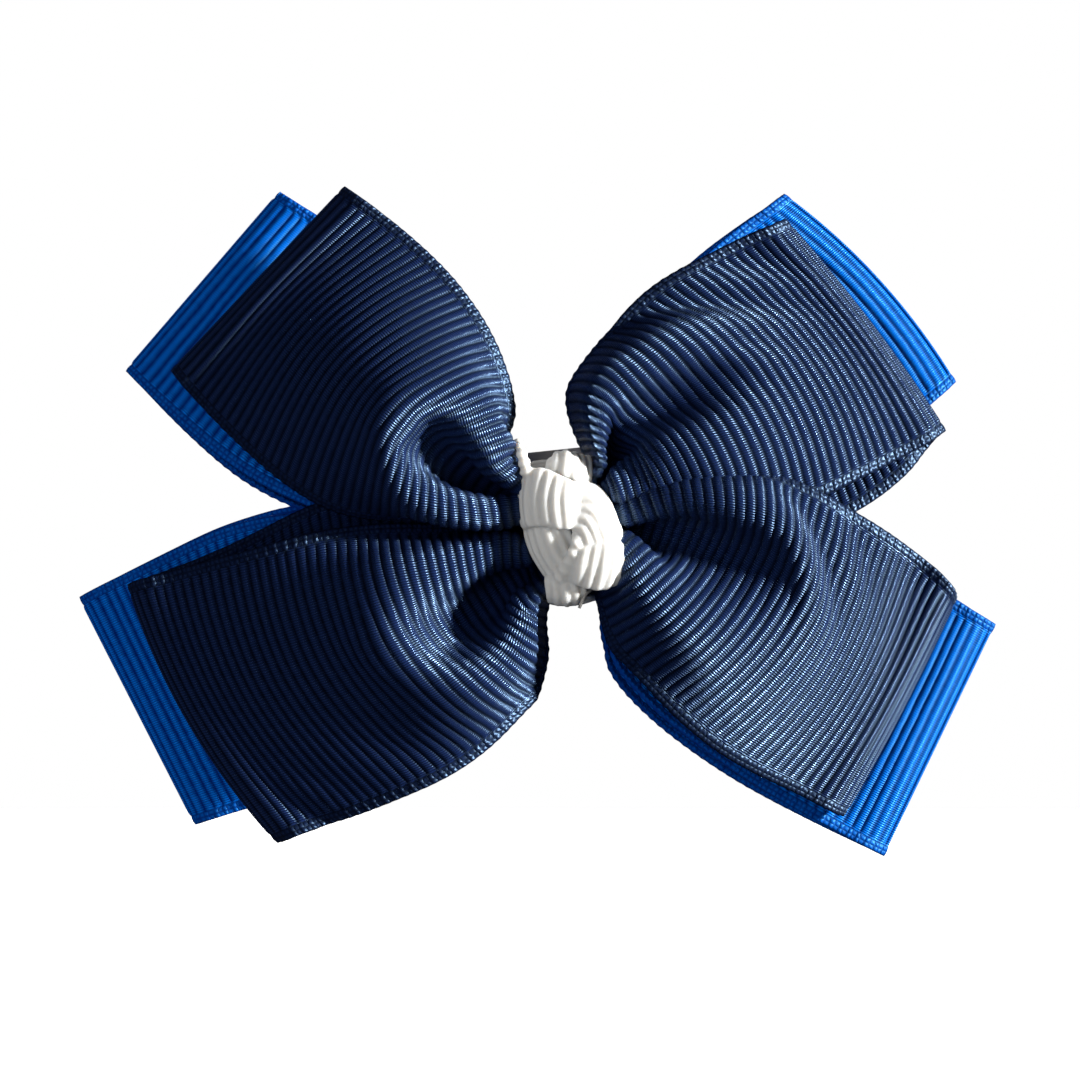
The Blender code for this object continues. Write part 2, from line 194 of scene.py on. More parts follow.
def lay_behind(points, front, gap):
    """Moves points back in y wherever they are less than gap behind the sheet in front of them."""
    flat = front.reshape(-1, 3)
    tree = kdtree.KDTree(len(flat))
    for number, (x, _, z) in enumerate(flat):
        tree.insert((x, 0, z), number)
    tree.balance()
    move = np.zeros(points.shape[:2])
    for place in np.ndindex(*move.shape):
        x, y, z = points[place]
        near = [flat[number][1] for _, number, _ in tree.find_range((x, 0, z), LAYER_REACH)]
        if near:
            move[place] = max(0.0, max(near) + gap - y)
    for _ in range(3):
        spread = np.pad(move, 1, mode="edge")
        around = (spread[:-2, 1:-1] + spread[2:, 1:-1] + spread[1:-1, :-2] + spread[1:-1, 2:]) / 4
        move = np.maximum(move, around)
    points[..., 1] += move


def run_spacing(points, window=11):
    """The spacing of the rows, evened out along the ribbon, so that no part of it has length to spare."""
    steps = np.linalg.norm(np.diff(points, axis=0), axis=-1)
    half = window // 2
    padded = np.concatenate([steps[:1].repeat(half, 0), steps, steps[-1:].repeat(half, 0)])
    evened = np.stack([padded[i : i + len(steps)] for i in range(window)]).mean(axis=0)
    return np.concatenate([evened, evened[-1:]])


# ---------------------------------------------------------------- the loops, in millimetres
# Each edge is a short list of (x, z) points from the knot to the fold, as seen from the front. The
# hidden ones are the same for the loop's other side, where it differs. crest is y where the loop is
# fullest, fold_upper and fold_lower are y at the ends of its fold, and valley is where the gather dips,
# from -1 at the lower edge to 1 at the upper one. width is the dip's share of each half of the ribbon,
# and it fades out between start and reach, as shares of the loop's length. full is how far its middle
# arches, as a share of what the ribbon's width allows, tip is how far the fold bows outward, and climb
# is the share of the loop's length over which it comes forward to its crest. ridge scales the height of
# its gathers, and root is y where it leaves the knot, if it isn't the strip's own.
Loop = namedtuple(
    "Loop",
    "upper lower crest fold_upper fold_lower valley width start reach"
    " full tip climb ridge root hidden_upper hidden_lower",
    defaults=(0.6, 0.0, 0.35, 1.0, None, None, None),
)
# waist is y in the knot, pleats the number of ridges on each side of the valley, and depth half the
# pleats' height. facing is -1 for the navy bow, whose gathers face the front, and 1 for the royal one.
# back is how far behind each loop's face its other side lies: at the waist, at the fold, and more
# between the two. fullness is the ribbon's length as a share of the outline's, and bow is how far the
# ribs bow outward.
Strip = namedtuple("Strip", "name node left right waist pleats depth facing back slot fullness bow")

NAVY_UPPER_LEFT = Loop(
    upper=(
        (-1.5, 3.2), (-5.2, 4.4), (-5.4, 7.4), (-4.9, 10.5),
        (-5.8, 15.2), (-8.4, 19.6), (-12.6, 24.2), (-20.0, 30.0),
    ),
    lower=((-1.5, 0.6), (-5.0, 0.5), (-15.2, 0.4), (-21.4, 1.0), (-28.0, 5.8), (-35.7, 13.5)),
    crest=-18.0,
    fold_upper=-13.0,
    fold_lower=-12.0,
    valley=-0.05,
    width=0.42,
    start=0.18,
    reach=0.42,
    full=1.0,
    hidden_upper=((-1.5, 2.2), (-6.2, 3.4), (-6.6, 7.4), (-6.2, 11.0), (-9.2, 19.4), (-20.0, 30.0)),
)
NAVY_LOWER_RIGHT = Loop(
    upper=(
        (1.5, 1.0), (4.2, 1.3), (11.2, 3.5), (17.5, 4.2),
        (24.4, 1.3), (29.6, -0.9), (33.6, -3.4), (34.5, -6.2),
    ),
    lower=((1.5, -4.6), (2.3, -7.5), (3.3, -11.0), (6.4, -15.4), (10.3, -19.0), (16.5, -22.9), (24.2, -26.2)),
    crest=-17.9,
    fold_upper=-10.5,
    fold_lower=-9.5,
    valley=0.42,
    width=0.60,
    start=0.22,
    reach=0.62,
    full=0.35,
    tip=0.3,
    climb=0.30,
    ridge=0.6,
    root=-14.4,
)
NAVY_LOWER_LEFT = Loop(
    upper=((-1.5, -0.9), (-4.5, -0.5), (-13.6, 0.9), (-21.6, 0.0), (-30.6, -1.8), (-39.7, -5.2)),
    lower=(
        (-1.5, -5.6), (-2.4, -8.3), (-2.3, -12.5), (-4.7, -18.3),
        (-10.9, -22.8), (-17.2, -25.9), (-26.1, -28.4),
    ),
    crest=-17.0,
    fold_upper=-10.5,
    fold_lower=-11.5,
    valley=0.05,
    width=0.42,
    start=0.16,
    reach=0.40,
    full=0.6,
    tip=1.5,
    hidden_upper=((-1.5, 0.5), (-8.0, 3.6), (-16.0, 5.2), (-25.4, 3.3), (-33.5, -1.6), (-39.7, -5.2)),
)
NAVY_UPPER_RIGHT = Loop(
    upper=((1.6, 4.8), (0.9, 6.7), (-0.4, 10.3), (0.2, 13.4), (6.0, 20.1), (11.4, 23.8), (18.7, 27.2)),
    lower=((1.5, 1.0), (4.6, 0.5), (11.0, -0.4), (17.0, 0.4), (24.2, 3.4), (33.4, 8.3)),
    crest=-16.2,
    fold_upper=-12.5,
    fold_lower=-10.0,
    valley=0.26,
    width=0.26,
    start=0.22,
    reach=0.54,
    full=0.3,
    tip=0.5,
    climb=0.30,
    ridge=0.85,
    root=-13.8,
    hidden_lower=((1.5, 0.4), (10.0, -2.6), (20.0, -2.6), (28.8, 1.2), (33.4, 8.3)),
)
ROYAL_DIP = {"width": 0.5, "start": 0.12, "reach": 0.45}
ROYAL_UPPER_LEFT = Loop(
    upper=((-1.5, 2.0), (-7.5, 3.2), (-10.2, 10.5), (-15.2, 22.0), (-26.3, 30.2)),
    lower=((-1.5, 0.4), (-8.0, 0.5), (-18.0, 0.0), (-29.5, 4.2), (-40.4, 13.8)),
    crest=-2.6,
    fold_upper=-6.3,
    fold_lower=-6.3,
    valley=0.0,
    **ROYAL_DIP,
)
ROYAL_LOWER_RIGHT = Loop(
    upper=((1.5, 0.6), (8.0, 1.4), (17.0, 1.4), (28.0, -2.6), (38.3, -8.8)),
    lower=((1.5, -4.0), (2.6, -7.0), (3.0, -11.0), (6.0, -15.6), (10.8, -20.3), (17.2, -24.4), (28.1, -30.0)),
    crest=-2.6,
    fold_upper=-6.3,
    fold_lower=-6.3,
    valley=0.1,
    **ROYAL_DIP,
)
ROYAL_LOWER_LEFT = Loop(
    upper=((-1.5, -0.6), (-8.0, -0.4), (-18.0, 1.0), (-30.5, 1.4), (-37.9, -2.2), (-44.9, -6.4)),
    lower=((-1.5, -4.0), (-4.0, -8.0), (-9.0, -15.5), (-19.0, -23.2), (-34.2, -27.4)),
    crest=-1.6,
    fold_upper=-4.0,
    fold_lower=-4.0,
    valley=0.0,
    **ROYAL_DIP,
)
ROYAL_UPPER_RIGHT = Loop(
    upper=((1.5, 3.9), (3.0, 8.0), (5.0, 14.0), (10.6, 24.0), (19.2, 30.2)),
    lower=((1.5, 0.6), (8.0, 1.2), (17.0, 2.4), (27.0, 6.4), (35.0, 12.9)),
    crest=-1.6,
    fold_upper=-4.0,
    fold_lower=-4.0,
    valley=0.1,
    tip=1.2,
    **ROYAL_DIP,
)
NAVY = {
    "pleats": 1,
    "depth": 3.9,
    "facing": -1,
    "back": (1.3, 0.8, 3.6),
    "slot": "navy_ribbon",
    "fullness": 1.04,
    "bow": 3.8,
}
ROYAL = {
    "pleats": 2,
    "depth": 1.2,
    "facing": 1,
    "back": (-0.8, -0.2, -4.6),
    "slot": "royal_ribbon",
    "fullness": 1.02,
    "bow": 1.0,
}
STRIPS = (
    Strip("navy_front_ribbon", "navy_front_strip", NAVY_UPPER_LEFT, NAVY_LOWER_RIGHT, -12.9, **NAVY),
    Strip("navy_rear_ribbon", "navy_rear_strip", NAVY_LOWER_LEFT, NAVY_UPPER_RIGHT, -12.2, **NAVY),
    Strip("royal_front_ribbon", "royal_front_strip", ROYAL_UPPER_LEFT, ROYAL_LOWER_RIGHT, -5.6, **ROYAL),
    Strip("royal_rear_ribbon", "royal_rear_strip", ROYAL_LOWER_LEFT, ROYAL_UPPER_RIGHT, -4.2, **ROYAL),
)


def curve_length(points):
    """The length of the smooth curve through the points."""
    line = curve_through(points, np.linspace(0, 1, 200))
    return np.linalg.norm(np.diff(line, axis=0), axis=1).sum()


def face_grid(strip, shift, hidden=False, rows=None):
    """One side of both loops, from the left fold through the waist to the right fold, before it relaxes."""
    left, right = strip.left, strip.right
    if hidden:
        left, right = (
            loop._replace(upper=loop.hidden_upper or loop.upper, lower=loop.hidden_lower or loop.lower)
            for loop in (left, right)
        )
    edges = [tuple(reversed(getattr(left, side))) + getattr(right, side) for side in ("lower", "upper")]
    if rows is None:
        rows = int(round(sum(curve_length(e) for e in edges) / 2 * strip.fullness * MM / GRID)) + 1
    shares = np.linspace(0, 1, rows)
    lower, upper = (curve_through(e, shares) for e in edges)
    t = np.linspace(-1, 1, COLUMNS)[None, :]
    share = (t + 1) / 2
    middle = (lower[:, 0] + upper[:, 0]) / 2
    out = np.where(middle < 0, middle / middle[0], middle / middle[-1])[:, None]
    side_to_side = smooth((middle + 3.0) / 6.0)[:, None]
    valley = left.valley * (1 - side_to_side) + right.valley * side_to_side
    dipped = 0.35 * valley  # the ribbon's own line that lies in the valley
    slide = (valley - dipped) / (1 - dipped**2) * (1 - ramp(out, 0.2, 0.5))
    place = share + slide * (1 - t**2) / 2
    if hidden:
        place = place + (0.5 - place) * 0.12 * np.sin(np.pi * np.clip(out, 0, 1))
    x = lower[:, :1] * (1 - place) + upper[:, :1] * place
    z = lower[:, 1:] * (1 - place) + upper[:, 1:] * place
    outward = np.stack([x - x.mean(axis=1)[len(x) // 2], z], axis=-1)
    outward /= np.linalg.norm(outward, axis=-1, keepdims=True) + 1e-6
    is_left = (middle < 0)[:, None]

    def each(name):
        return np.where(is_left, getattr(left, name), getattr(right, name))

    bow = strip.bow * np.sin(np.pi * out**0.9) + each("tip") * ramp(out, 0.5, 0.5)
    x = x + outward[..., 0] * bow * (1 - t**2)
    z = z + outward[..., 1] * bow * (1 - t**2)

    fold = each("fold_lower") * (1 - share) + each("fold_upper") * share
    crest = each("crest")
    climb = each("climb")
    rise = smooth(out / climb)
    fall = ramp(out, climb, 0.9) / ramp(1, climb, 0.9)
    roots = [strip.waist if loop.root is None else loop.root for loop in (left, right)]
    root = roots[0] * (1 - side_to_side) + roots[1] * side_to_side
    y = root + (crest - root) * rise + (fold - crest) * fall
    side = np.where(t < dipped, (dipped - t) / (1 + dipped), (t - dipped) / (1 - dipped))
    fade = 1 - ramp(out, each("start"), each("reach") - each("start"))
    edge_fade = 1 - ramp(out, 0.12, 0.45)
    chord = np.hypot(upper[:, 0] - lower[:, 0], upper[:, 1] - lower[:, 1])[:, None]
    spare = np.clip(RIBBON_WIDTH / MM - chord, 0, None)
    arch = np.sqrt(0.375 * spare * chord)  # height of an arc as long as the ribbon is wide
    arch = arch * each("full") * ramp(out, 0.25, 0.25) * (1 - ramp(out, 0.5, 0.45))
    y = y + strip.facing * arch * (2 / 3 - t**2)
    if strip.pleats == 1:
        dip = (1 + np.cos(np.pi * np.clip(side / each("width"), 0, 1))) * fade
        curl = (1 - np.cos(np.pi * np.clip((side - 0.55) / 0.45, 0, 1))) * edge_fade
        held = 0.76 + 0.24 * smooth(out / 0.16)
        y = y - strip.facing * strip.depth * each("ridge") * held * (dip + curl - edge_fade)
    else:
        y = y - strip.facing * strip.depth * np.cos(2 * np.pi * strip.pleats * side) * fade
    y = y + shift[0] * (1 - out) + shift[1] * out + shift[2] * np.sin(np.pi * np.clip(out, 0, 1))
    return np.stack([x, y, z], axis=-1) * MM, out


def strip_grid(strip, rounds):
    """The whole strip: out along the left loop's hidden side, across both faces, and back on the right."""
    face, out = face_grid(strip, (0.0, 0.0, 0.0))
    rows = len(face)
    hidden, _ = face_grid(strip, strip.back, True, rows)
    waist = int(np.argmin(out[:, 0]))
    tips = []
    for end, inner in ((0, 2), (-1, -3)):
        outward = face[end] - face[inner]
        outward[:, 1] = 0
        outward /= np.linalg.norm(outward, axis=1, keepdims=True)
        tips.append((face[end] + hidden[end]) / 2 + outward * FOLD)
    parts = (hidden[waist::-1], tips[0][None], face, tips[1][None], hidden[:waist:-1])
    points = np.concatenate(parts)
    left_tip = waist + 1
    right_tip = left_tip + rows + 1
    mobility = np.where(np.abs(points[..., :1]) < WAIST_X, 0.0, 1.0)
    for tip in (left_tip, right_tip):
        mobility[tip - 1 : tip + 2] = 0
    ties = np.zeros_like(points)
    ties[left_tip + 1 : right_tip] = FACE_TIE
    ties[left_tip + 1 : right_tip, :, 1] = DEPTH_TIE + ROOT_TIE * (1 - ramp(out, 0.25, 0.25))
    ties[:, 0] = ties[:, -1] = EDGE_TIE
    ties[:left_tip] = ties[right_tip + 1 :] = HIDDEN_TIE
    width = np.full(len(points), RIBBON_WIDTH)
    for tip in (left_tip, right_tip):
        seen = np.linalg.norm(points[tip, -1] - points[tip, 0])
        away = np.abs(np.arange(len(points)) - tip)
        width += (seen - RIBBON_WIDTH) * np.clip(1 - away / FITTED_ROWS, 0, 1)
    along = TAUTNESS * run_spacing(points)
    push = np.zeros(len(points))
    push[left_tip + 3 : right_tip - 2] = strip.facing * AIR * MM
    relax(points, along, width / (COLUMNS - 1), mobility, ties, push, rounds, BENDING)
    for other in (points[: left_tip - 1], points[right_tip + 2 :]):
        face = points[left_tip + 2 : right_tip - 1]
        front, rear = (face, other) if strip.facing < 0 else (other, face)
        lay_behind(rear, front, LAYER_GAP)
    if strip.facing > 0:
        free = CLIP_FRONT - points[..., 1]
        points[..., 1] = CLIP_FRONT - (free + np.hypot(free, CLIP_SOFTNESS)) / 2
    return points


# ---------------------------------------------------------------- ribbon meshes
def add_object(name, data):
    """Puts a new object in the scene."""
    made = bpy.data.objects.new(name, data)
    bpy.context.scene.collection.objects.link(made)
    return made


def sheet_mesh(name, middle, lift, along, across, material):
    """A closed mesh round a middle surface. lift is how far the top and the underside stand from it."""
    normal = np.cross(np.gradient(middle, axis=0), np.gradient(middle, axis=1))
    normal /= np.linalg.norm(normal, axis=-1, keepdims=True) + 1e-12
    layers = [middle + normal * sign * lift[..., None] for sign in (1, -1)]
    rows, columns, _ = middle.shape
    vertices = np.concatenate([layer.reshape(-1, 3) for layer in layers])
    index = np.arange(rows * columns).reshape(rows, columns)
    top = np.stack([index[:-1, :-1], index[1:, :-1], index[1:, 1:], index[:-1, 1:]], axis=-1).reshape(-1, 4)
    under = top[:, ::-1] + rows * columns
    rim = np.concatenate([index[:, 0], index[-1, 1:], index[-2::-1, -1], index[0, -2::-1]])
    a, b = rim[:-1], rim[1:]
    sides = np.stack([b, a, a + rows * columns, b + rows * columns], axis=-1)
    faces = np.concatenate([top, under, sides])
    mesh = bpy.data.meshes.new(name)
    mesh.vertices.add(len(vertices))
    mesh.vertices.foreach_set("co", vertices.astype(np.float32).ravel())
    mesh.loops.add(faces.size)
    mesh.loops.foreach_set("vertex_index", faces.astype(np.int32).ravel())
    mesh.polygons.add(len(faces))
    mesh.polygons.foreach_set("loop_start", np.arange(0, faces.size, 4, dtype=np.int32))
    mesh.polygons.foreach_set("use_smooth", np.ones(len(faces), bool))
    mesh.update(calc_edges=True)
    flat = np.stack(np.broadcast_arrays(along[:, None], across[None, :]), axis=-1).reshape(-1, 2)
    flat = np.concatenate([flat, flat])
    uv = mesh.uv_layers.new(name="ribbon")
    uv.data.foreach_set("uv", flat[faces.ravel()].astype(np.float32).ravel())
    mesh.validate()
    mesh.materials.append(material)
    return add_object(name, mesh)


RIB_PHASES = np.array((0.0, 0.14, 0.36, 0.64, 0.86))  # the five rows of each rib, closest in its valley
# Where the columns of points lie across the ribbon: on its body, and closer together on each woven edge.
BODY_STEPS = np.linspace(-11.15, 11.15, 31) * MM
EDGE_STEPS = np.array((11.35, 11.55, 11.75, 12.0, 12.3, 12.55, 12.7)) * MM


def ribbon_object(strip, grid, material):
    """A loop ribbon: ribs across it and a thicker woven edge along each side."""
    ribs = int((len(grid) - 1) * GRID / RIB_PITCH)
    along = (np.arange(ribs)[:, None] + RIB_PHASES[None, :]).reshape(-1) * RIB_PITCH
    phases = np.tile(RIB_PHASES, ribs)[:, None]
    across = np.concatenate([-EDGE_STEPS[::-1], BODY_STEPS, EDGE_STEPS])
    row_weights = bspline_rows(len(grid), along / GRID)
    column_weights = bspline_rows(COLUMNS, (across / RIBBON_WIDTH + 0.5) * (COLUMNS - 1))
    middle = np.einsum("ri,ijk,cj->rck", row_weights, grid, column_weights, optimize=True)
    to_edge = (RIBBON_WIDTH / 2 - np.abs(across))[None, :]
    body = ramp(to_edge, EDGE, EDGE_BLEND)
    ribbed = RIB_HEIGHT * (np.abs(np.sin(np.pi * phases)) ** RIB_ROUNDNESS - 0.5) * body
    cord = CORD_HEIGHT * np.sin(np.pi * np.clip(to_edge / EDGE, 0, 1))
    braid = BRAID_HEIGHT * np.cos(2 * np.pi * phases) * (1 - body)
    made = sheet_mesh(strip.name, middle, HALF_THICKNESS + ribbed + cord + braid, along, across, material)
    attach(made, "bow")
    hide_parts(strip.node)
    return made


# ---------------------------------------------------------------- the knot, in millimetres
# Each patch is a piece of the folded centre ribbon: rows of (x, y, z) points one after another along the
# ribbon, each row from one edge of the ribbon to the other. The ribs run along the rows.
KNOT_RIB = 0.86  # pitch of the centre ribbon's ribs
KNOT_RIB_HEIGHT = 0.26
PATCH_THICKNESS = 0.28
BAND_THICKNESS = 0.22
STEPS_PER_RIB = 8
KNOT_COLUMNS = 25
KNOT_PATCHES = {
    "left_turn": (
        ((-2.6, -14.6, 4.9), (-2.9, -14.5, 2.3), (-2.6, -14.5, -0.2)),
        ((-4.15, -16.0, 4.9), (-4.3, -15.9, 2.3), (-4.05, -15.8, -0.5)),
        ((-3.9, -17.9, 4.9), (-4.0, -18.3, 2.3), (-3.8, -18.2, -0.3)),
        ((-2.6, -18.7, 5.0), (-2.7, -19.1, 2.3), (-2.5, -19.0, -0.2)),
        ((-1.0, -18.9, 4.3), (-1.2, -19.4, 2.2), (-0.9, -19.3, -0.5)),
        ((0.3, -18.4, 3.7), (0.0, -19.0, 2.2), (0.2, -18.9, -0.3)),
        ((1.3, -16.8, 3.3), (1.1, -17.2, 2.0), (1.2, -17.0, 0.0)),
    ),
    "left_tuck": (
        ((-2.6, -14.6, -0.2), (-2.3, -14.6, -2.6), (-1.3, -14.6, -4.6)),
        ((-4.05, -15.7, -0.2), (-3.3, -15.8, -2.5), (-1.75, -15.8, -5.0)),
        ((-3.5, -17.2, 0.1), (-2.8, -17.4, -2.4), (-1.3, -17.0, -4.8)),
        ((-2.5, -18.2, 0.2), (-1.8, -18.2, -2.3), (-0.7, -17.4, -4.3)),
        ((-1.4, -18.5, 0.2), (-0.9, -18.1, -2.0), (-0.1, -17.2, -3.7)),
        ((-0.3, -18.3, 0.2), (0.2, -17.4, -1.6), (0.6, -16.8, -3.0)),
    ),
    "right_turn": (
        ((0.05, -18.6, -1.4), (0.3, -18.9, -1.5), (0.4, -18.8, -1.9)),
        ((-0.1, -18.7, -0.3), (0.8, -19.1, -0.6), (1.3, -19.1, -1.85)),
        ((-0.3, -18.5, 1.15), (1.35, -19.1, 0.6), (2.35, -19.0, -1.7)),
        ((-0.5, -18.0, 2.6), (1.85, -18.7, 1.75), (3.3, -18.7, -1.6)),
        ((-0.6, -17.2, 3.6), (2.3, -17.7, 2.6), (4.1, -17.7, -1.5)),
        ((-0.6, -15.4, 3.9), (2.4, -15.2, 2.8), (4.4, -15.3, -1.5)),
    ),
    "right_wrap": (
        ((0.1, -18.7, -1.6), (-0.3, -18.3, -3.2), (-0.5, -17.2, -4.7)),
        ((0.9, -19.0, -1.7), (0.6, -19.0, -3.6), (0.4, -17.9, -5.3)),
        ((1.9, -19.1, -1.7), (1.8, -19.0, -3.8), (1.6, -17.9, -5.7)),
        ((2.9, -19.0, -1.6), (2.9, -18.9, -3.8), (2.75, -17.7, -5.7)),
        ((3.9, -18.2, -1.5), (4.1, -18.1, -3.5), (3.75, -17.0, -5.2)),
        ((4.3, -15.9, -1.5), (4.6, -15.9, -3.2), (4.25, -15.4, -4.6)),
    ),
    "slanting_edge": (
        ((0.3, -19.0, -0.9), (0.5, -19.3, -1.3), (0.6, -18.9, -1.8)),
        ((-0.4, -18.7, -2.5), (-0.1, -18.9, -2.8), (0.2, -18.4, -3.0)),
        ((-1.2, -17.8, -4.0), (-0.9, -18.0, -4.3), (-0.5, -17.6, -4.5)),
        ((-1.9, -16.6, -5.0), (-1.6, -16.7, -5.4), (-1.1, -16.4, -5.5)),
    ),
    "left_strand": (
        ((-4.3, -17.8, 4.2), (-4.0, -18.3, 4.3), (-3.6, -18.1, 4.4)),
        ((-4.5, -18.2, 5.4), (-4.3, -18.5, 5.5), (-4.1, -18.2, 5.6)),
        ((-4.75, -18.0, 6.5), (-4.6, -18.2, 6.6), (-4.45, -18.0, 6.6)),
        ((-5.0, -16.8, 7.2), (-4.9, -16.9, 7.3), (-4.75, -16.8, 7.3)),
    ),
    "top_puff": (
        ((-2.3, -16.4, 4.0), (-2.1, -16.4, 5.0), (-1.9, -15.0, 5.4)),
        ((-1.6, -17.5, 4.0), (-1.5, -17.2, 5.6), (-1.3, -15.2, 6.1)),
        ((-0.6, -17.9, 4.0), (-0.6, -17.4, 5.8), (-0.5, -15.4, 6.3)),
        ((0.5, -17.6, 3.6), (0.5, -16.8, 5.3), (0.5, -15.0, 6.1)),
        ((1.5, -16.4, 3.2), (1.6, -15.6, 4.9), (1.6, -14.4, 6.0)),
    ),
    "low_tail": (
        ((-2.5, -16.6, -4.4), (-2.3, -16.2, -5.8), (-2.2, -14.8, -6.6)),
        ((-1.3, -17.4, -4.7), (-1.2, -16.8, -6.2), (-1.1, -15.2, -6.95)),
        ((0.0, -17.5, -5.0), (0.0, -16.8, -6.3), (0.0, -15.2, -6.9)),
        ((1.2, -16.8, -5.0), (1.2, -16.2, -5.9), (1.2, -14.8, -6.4)),
    ),
}
# The two tails lie together round the waist: over the top, down behind and back under the bottom.
BAND_ROWS = (
    ((-3.9, -15.8, 4.4), (-2.2, -15.4, 4.5), (-0.3, -15.4, 4.5), (1.9, -15.6, 4.0)),
    ((-4.0, -13.0, 5.2), (-2.6, -13.0, 5.3), (-0.6, -13.0, 5.4), (1.6, -13.0, 5.8)),
    ((-3.6, -9.0, 5.3), (-2.4, -9.0, 5.4), (-0.4, -9.0, 5.5), (1.8, -9.0, 6.3)),
    ((-3.4, -5.0, 5.2), (-2.2, -5.0, 5.4), (0.2, -5.0, 5.5), (2.2, -5.0, 6.2)),
    ((-3.4, -2.4, 4.9), (-1.8, -2.2, 5.0), (0.8, -2.2, 5.2), (3.0, -2.4, 5.4)),
    ((-3.4, -1.9, 2.5), (-1.4, -1.9, 2.5), (1.2, -1.9, 2.5), (3.4, -1.9, 2.5)),
    ((-3.4, -1.9, -2.5), (-1.2, -1.9, -2.5), (1.2, -1.9, -2.5), (3.4, -1.9, -2.5)),
    ((-3.3, -2.4, -6.0), (-1.2, -2.2, -6.1), (1.2, -2.2, -6.1), (3.3, -2.4, -6.0)),
    ((-3.0, -7.0, -6.5), (-1.2, -7.0, -6.7), (0.8, -7.0, -6.7), (2.4, -7.0, -6.4)),
    ((-2.3, -12.0, -6.6), (-1.0, -12.0, -6.9), (0.4, -12.0, -6.8), (1.5, -12.0, -6.3)),
)


def knot_sheet(name, rows, thickness, material):
    """A piece of the centre ribbon through rows of points, with its ribs and rounded edges."""
    grid = np.array(rows, float)
    middle_line = grid[:, grid.shape[1] // 2]
    length = np.linalg.norm(np.diff(middle_line, axis=0), axis=1).sum()
    ribs = max(2, int(round(length / KNOT_RIB)))
    shares = np.linspace(0, 1, ribs * STEPS_PER_RIB + 1)
    across = (1 - np.cos(np.linspace(0, np.pi, KNOT_COLUMNS))) / 2
    middle = surface_through(grid, len(shares), across) * MM
    rib = np.abs(np.sin(np.pi * ribs * shares))[:, None]
    rim = np.sqrt(np.clip(1 - (2 * across - 1) ** 8, 0, 1))[None, :]
    ends = smooth(np.minimum(shares, 1 - shares) / 0.04)[:, None]
    lift = (thickness + KNOT_RIB_HEIGHT * rib) * rim * (0.2 + 0.8 * ends) * MM
    width = np.linalg.norm(grid[:, -1] - grid[:, 0], axis=1).mean() * MM
    return sheet_mesh(name, middle, lift, shares * length * MM, (across - 0.5) * width, material)


def build_knot(material):
    """The centre ribbon: its patches and its band round the waist, melted together where they overlap."""
    patches = KNOT_PATCHES.items()
    pieces = [knot_sheet("knot_" + name, rows, PATCH_THICKNESS, material) for name, rows in patches]
    pieces.append(knot_sheet("knot_band", BAND_ROWS, BAND_THICKNESS, material))
    knot = pieces[-1]
    with bpy.context.temp_override(active_object=knot, selected_editable_objects=pieces):
        bpy.ops.object.join()
    knot.name = "centre_ribbon_knot"
    melt = knot.modifiers.new("melt", "REMESH")
    melt.mode = "VOXEL"
    melt.voxel_size = 0.00013
    melt.use_smooth_shade = True
    soften = knot.modifiers.new("soften", "SMOOTH")
    soften.factor = 0.5
    soften.iterations = 6
    with bpy.context.temp_override(object=knot, active_object=knot):
        bpy.ops.object.modifier_apply(modifier=melt.name)
        bpy.ops.object.modifier_apply(modifier=soften.name)
    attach(knot, "bow")
    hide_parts("centre_ribbon")
    return knot


# ---------------------------------------------------------------- materials
class Nodes:
    """A material's nodes, made and linked in short lines."""

    def __init__(self, material):
        material.use_nodes = True
        self.tree = material.node_tree
        self.shader = self.tree.nodes["Principled BSDF"]

    def add(self, kind, inputs=(), **settings):
        node = self.tree.nodes.new(kind)
        for key, value in settings.items():
            setattr(node, key, value)
        for key, value in dict(inputs).items():
            if isinstance(value, bpy.types.NodeSocket):
                self.tree.links.new(value, node.inputs[key])
            else:
                node.inputs[key].default_value = value
        return node

    def math(self, operation, a, b=0.0, c=0.0):
        return self.add("ShaderNodeMath", {0: a, 1: b, 2: c}, operation=operation).outputs[0]

    def mix(self, share, a, b):
        """Goes from colour a to colour b as the share goes from 0 to 1."""
        return self.add("ShaderNodeMix", {0: share, 6: a, 7: b}, data_type="RGBA").outputs[2]

    def wave(self, value, pitch):
        """Rounded bumps from 0 to 1 with the pitch."""
        return self.math("ABSOLUTE", self.math("SINE", self.math("MULTIPLY", value, math.pi / pitch)))

    def blend(self, share, a, b):
        """Goes from value a to value b as the share goes from 0 to 1."""
        return self.math("MULTIPLY_ADD", share, self.math("SUBTRACT", b, a), a)

    def link(self, output, name):
        self.tree.links.new(output, self.shader.inputs[name])


